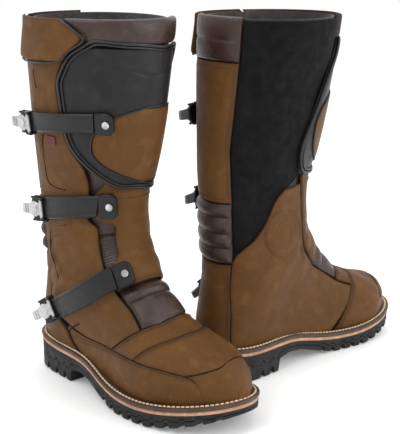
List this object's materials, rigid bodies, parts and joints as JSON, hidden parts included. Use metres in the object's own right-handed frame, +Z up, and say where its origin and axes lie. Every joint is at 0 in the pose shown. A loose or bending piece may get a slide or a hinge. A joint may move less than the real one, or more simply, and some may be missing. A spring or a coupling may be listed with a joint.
{
  "type": "tall adventure riding boots",
  "caption": "Pair of tall oiled-leather adventure riding boots with a charcoal shin guard, hinged front flap, buckled straps and a welted lug sole.",
  "frame": {"origin": "centre of the pair's bounding box, on the ground under the soles", "axes": "+Z up; the right boot points along +X and the left boot along +Y, so +X and +Y are the two toe directions"},
  "size_m": [0.3034, 0.4412, 0.394],
  "materials": {
    "rubber": "matt black lugged rubber",
    "midsole": "tan moulded midsole",
    "welt_leather": "dark brown stitched welt",
    "board": "pressed fibre board",
    "steel": "plain",
    "lining_mesh": "dark knitted lining",
    "oiled_leather": "mottled oiled full-grain brown",
    "padded_leather": "smooth dark brown, padded",
    "stretch": "near-black suede stretch",
    "shin_guard": "charcoal moulded shin guard",
    "buckle_plastic": "fine grained black",
    "lever_alloy": "bright satin cast"
  },
  "bodies": {
    "right_boot": {"right_outsole": "rubber", "right_midsole": "midsole", "right_welt": "welt_leather", "right_insole_board": "board", "right_shank": "steel", "right_footbed": "lining_mesh", "right_lining": "lining_mesh", "right_lateral_quarter": "oiled_leather", "right_medial_quarter": "oiled_leather", "right_stretch_panel": "stretch", "right_rear_calf_panel": "oiled_leather", "right_rear_bellows": "padded_leather", "right_heel_counter": "oiled_leather", "right_lateral_foxing": "oiled_leather", "right_vamp": "oiled_leather", "right_toe_cap": "oiled_leather", "right_tongue": "padded_leather", "right_collar": "padded_leather", "right_catches": "buckle_plastic"},
    "right_front": {"right_front_flap": "oiled_leather", "right_shin_plate": "shin_guard", "right_shin_inlay": "oiled_leather", "right_strap_anchors": "buckle_plastic"},
    "right_top_flap_body": {"right_top_flap": "oiled_leather"},
    "right_strap_upper_body": {"right_strap_upper": "buckle_plastic"},
    "right_lever_upper_body": {"right_lever_upper": "lever_alloy"},
    "right_strap_middle_body": {"right_strap_middle": "buckle_plastic"},
    "right_lever_middle_body": {"right_lever_middle": "lever_alloy"},
    "right_strap_lower_body": {"right_strap_lower": "buckle_plastic"},
    "right_lever_lower_body": {"right_lever_lower": "lever_alloy"},
    "left_boot": {"left_outsole": "rubber", "left_midsole": "midsole", "left_welt": "welt_leather", "left_insole_board": "board", "left_shank": "steel", "left_footbed": "lining_mesh", "left_lining": "lining_mesh", "left_lateral_quarter": "oiled_leather", "left_medial_quarter": "oiled_leather", "left_stretch_panel": "stretch", "left_rear_calf_panel": "oiled_leather", "left_rear_bellows": "padded_leather", "left_heel_counter": "oiled_leather", "left_lateral_foxing": "oiled_leather", "left_vamp": "oiled_leather", "left_toe_cap": "oiled_leather", "left_tongue": "padded_leather", "left_collar": "padded_leather", "left_catches": "buckle_plastic"},
    "left_front": {"left_front_flap": "oiled_leather", "left_shin_plate": "shin_guard", "left_shin_inlay": "oiled_leather", "left_strap_anchors": "buckle_plastic"},
    "left_top_flap_body": {"left_top_flap": "oiled_leather"},
    "left_strap_upper_body": {"left_strap_upper": "buckle_plastic"},
    "left_lever_upper_body": {"left_lever_upper": "lever_alloy"},
    "left_strap_middle_body": {"left_strap_middle": "buckle_plastic"},
    "left_lever_middle_body": {"left_lever_middle": "lever_alloy"},
    "left_strap_lower_body": {"left_strap_lower": "buckle_plastic"},
    "left_lever_lower_body": {"left_lever_lower": "lever_alloy"}
  },
  "joints": [
    {"name": "right_front_swing", "type": "hinge", "parent": "right_boot", "child": "right_front", "pos_m": [-0.0455, -0.09275, 0.245], "axis": [-0.0959, -0.0685, 0.993], "range_deg": [0, 40]},
    {"name": "right_top_flap_fold", "type": "hinge", "parent": "right_boot", "child": "right_top_flap_body", "pos_m": [-0.11781, -0.20078, 0.37272], "axis": [0, 0, -1], "range_deg": [0, 60]},
    {"name": "right_strap_upper_hinge", "type": "hinge", "parent": "right_front", "child": "right_strap_upper_body", "pos_m": [-0.01481, -0.194, 0.2951], "axis": [0.0835, -0.111, 0.9903], "range_deg": [0, 50]},
    {"name": "right_lever_upper_hinge", "type": "hinge", "parent": "right_strap_upper_body", "child": "right_lever_upper_body", "pos_m": [-0.10004, -0.21414, 0.28673], "axis": [-0.0235, -0.0948, 0.9952], "range_deg": [0, 110]},
    {"name": "right_strap_middle_hinge", "type": "hinge", "parent": "right_front", "child": "right_strap_middle_body", "pos_m": [-0.02443, -0.18493, 0.20817], "axis": [-0.0173, -0.0921, 0.9956], "range_deg": [0, 50]},
    {"name": "right_lever_middle_hinge", "type": "hinge", "parent": "right_strap_middle_body", "child": "right_lever_middle_body", "pos_m": [-0.09606, -0.20615, 0.19503], "axis": [-0.0972, 0.002, 0.9953], "range_deg": [0, 110]},
    {"name": "right_strap_lower_hinge", "type": "hinge", "parent": "right_front", "child": "right_strap_lower_body", "pos_m": [0.00027, -0.18519, 0.13665], "axis": [-0.515, 0.0171, 0.857], "range_deg": [0, 50]},
    {"name": "right_lever_lower_hinge", "type": "hinge", "parent": "right_strap_lower_body", "child": "right_lever_lower_body", "pos_m": [-0.08214, -0.20905, 0.08749], "axis": [-0.5087, -0.0344, 0.8603], "range_deg": [0, 110]},
    {"name": "left_boot_lift", "type": "slide", "parent": "right_boot", "child": "left_boot", "axis": [0, 0, 1], "range_m": [0, 0.4]},
    {"name": "left_front_swing", "type": "hinge", "parent": "left_boot", "child": "left_front", "pos_m": [0.08283, 0.02426, 0.245], "axis": [0.0668, 0.0971, -0.993], "range_deg": [0, 40]},
    {"name": "left_top_flap_fold", "type": "hinge", "parent": "left_boot", "child": "left_top_flap_body", "pos_m": [-0.02393, -0.04992, 0.37272], "axis": [0, 0, 1], "range_deg": [0, 60]},
    {"name": "left_strap_upper_hinge", "type": "hinge", "parent": "left_front", "child": "left_strap_upper_body", "pos_m": [-0.01894, 0.05317, 0.2951], "axis": [0.1125, -0.0815, -0.9903], "range_deg": [0, 50]},
    {"name": "left_lever_upper_hinge", "type": "hinge", "parent": "left_strap_upper_body", "child": "left_lever_upper_body", "pos_m": [-0.0376, -0.03239, 0.28673], "axis": [0.0944, 0.0251, -0.9952], "range_deg": [0, 110]},
    {"name": "left_strap_middle_hinge", "type": "hinge", "parent": "left_front", "child": "left_strap_middle_body", "pos_m": [-0.0097, 0.04371, 0.20817], "axis": [0.0918, 0.0189, -0.9956], "range_deg": [0, 50]},
    {"name": "left_lever_middle_hinge", "type": "hinge", "parent": "left_strap_middle_body", "child": "left_lever_middle_body", "pos_m": [-0.02968, -0.02827, 0.19503], "axis": [-0.0037, 0.0972, -0.9953], "range_deg": [0, 110]},
    {"name": "left_strap_lower_hinge", "type": "hinge", "parent": "left_front", "child": "left_strap_lower_body", "pos_m": [-0.01039, 0.0684, 0.13665], "axis": [-0.0261, 0.5146, -0.857], "range_deg": [0, 50]},
    {"name": "left_lever_lower_hinge", "type": "hinge", "parent": "left_strap_lower_body", "child": "left_lever_lower_body", "pos_m": [-0.03281, -0.0144, 0.08749], "axis": [0.0256, 0.5092, -0.8603], "range_deg": [0, 110]}
  ]
}
